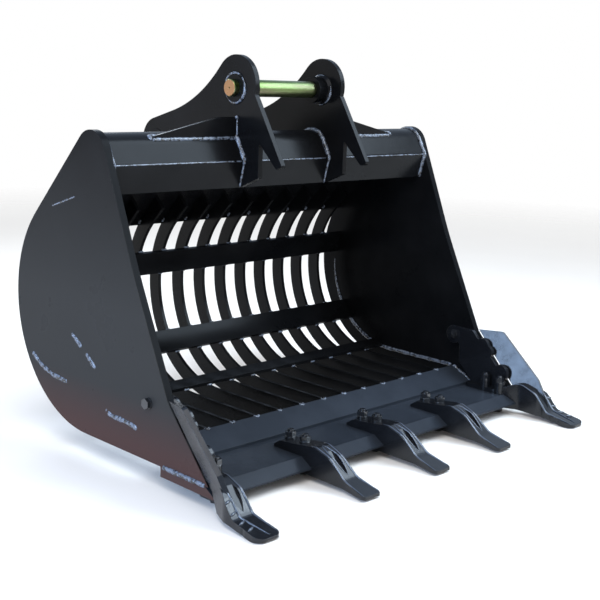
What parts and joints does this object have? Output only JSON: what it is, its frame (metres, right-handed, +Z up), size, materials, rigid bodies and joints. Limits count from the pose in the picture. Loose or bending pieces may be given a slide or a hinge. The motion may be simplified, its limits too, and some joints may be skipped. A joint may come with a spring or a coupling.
{
  "type": "skeleton bucket",
  "caption": "Excavator skeleton bucket: side plates joined by a rib floor and back, a toothed cutting edge, a box beam and two pin ears.",
  "frame": {"origin": "on the ground under the middle of the bucket, with the floor ribs level and the tooth tips touching the ground", "axes": "+X across the bucket from its left side plate to its right one, -Y out of the open toothed front, +Z up"},
  "size_m": [1.2778, 1.0421, 1.013],
  "materials": {
    "paint": "gloss black paint over welded steel plate",
    "pin": "yellow zinc plating",
    "fastener": "hex fasteners painted over in gloss black"
  },
  "bodies": {
    "root": {"back_bar_lower": "paint", "back_bar_upper": "paint", "back_plate": "paint", "beam_closing_plate": "paint", "beam_gusset_left": "paint", "beam_gusset_right": "paint", "centre_tooth_1": "paint", "centre_tooth_2": "paint", "centre_tooth_3": "paint", "corner_tooth_left": "paint", "corner_tooth_right": "paint", "cutting_edge": "paint", "dipper_pin": "pin", "ear_left": "paint", "ear_right": "paint", "floor_bar": "paint", "link_boss_left": "paint", "link_boss_right": "paint", "lip_plate": "paint", "pin_boss_left": "paint", "pin_boss_right": "paint", "rib_01": "paint", "rib_02": "paint", "rib_03": "paint", "rib_04": "paint", "rib_05": "paint", "rib_06": "paint", "rib_07": "paint", "rib_08": "paint", "rib_09": "paint", "rib_10": "paint", "rib_11": "paint", "rib_12": "paint", "rib_13": "paint", "side_bolt_left": "fastener", "side_bolt_right": "fastener", "side_plate_left": "paint", "side_plate_right": "paint", "tooth_bolts_1": "fastener", "tooth_bolts_2": "fastener", "tooth_bolts_3": "fastener", "tooth_bolts_4": "fastener", "tooth_bolts_5": "fastener", "top_beam": "paint"}
  },
  "joints": []
}
